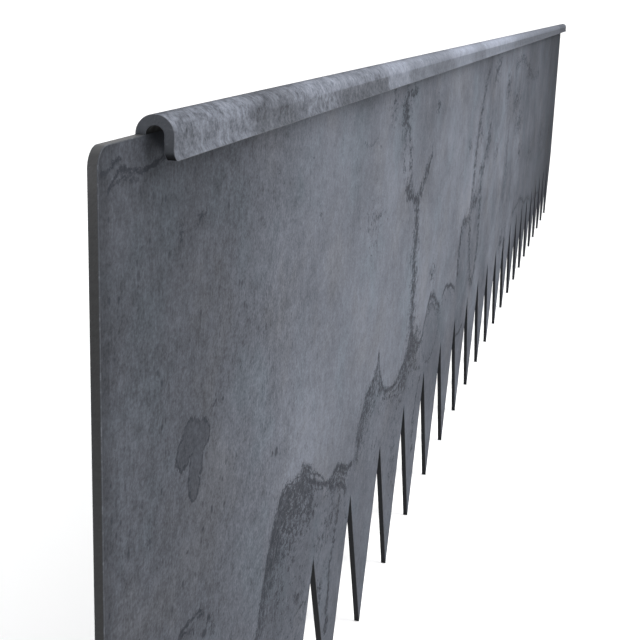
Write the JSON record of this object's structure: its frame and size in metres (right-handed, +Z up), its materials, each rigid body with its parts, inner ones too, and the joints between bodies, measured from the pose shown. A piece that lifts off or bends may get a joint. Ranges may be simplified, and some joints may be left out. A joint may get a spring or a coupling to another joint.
{
  "type": "garden edging panel",
  "caption": "Long flat garden edging panel with a rolled hook bead along the top, a trimmed joining tongue at one end and a row of pointed teeth along the foot.",
  "frame": {"origin": "on the rear face, at the soil line, halfway along the panel", "axes": "+X along the panel from the joining tongue to the plain end, +Y out of the rear face, +Z up; the front and its hook bead look towards -Y, and the teeth reach below Z = 0"},
  "size_m": [1.18, 0.0076, 0.2],
  "materials": {
    "face_print": "satin printed coating, cloudy blue-grey concrete look with dark veins and speckle",
    "bead_print": "satin printed coating, lighter cloudy concrete look with bands across the bead",
    "tooth_print": "satin printed coating with dark cut edges"
  },
  "bodies": {
    "root": {"face_panel": "face_print", "joining_tongue": "face_print", "bead_rear_bend": "bead_print", "bead_front_bend": "bead_print", "bead_lip": "bead_print", "lip_foot": "bead_print", "tooth_01": "tooth_print", "tooth_02": "tooth_print", "tooth_03": "tooth_print", "tooth_04": "tooth_print", "tooth_05": "tooth_print", "tooth_06": "tooth_print", "tooth_07": "tooth_print", "tooth_08": "tooth_print", "tooth_09": "tooth_print", "tooth_10": "tooth_print", "tooth_11": "tooth_print", "tooth_12": "tooth_print", "tooth_13": "tooth_print", "tooth_14": "tooth_print", "tooth_15": "tooth_print", "tooth_16": "tooth_print", "tooth_17": "tooth_print", "tooth_18": "tooth_print", "tooth_19": "tooth_print", "tooth_20": "tooth_print", "tooth_21": "tooth_print", "tooth_22": "tooth_print", "tooth_23": "tooth_print", "tooth_24": "tooth_print"}
  },
  "joints": []
}
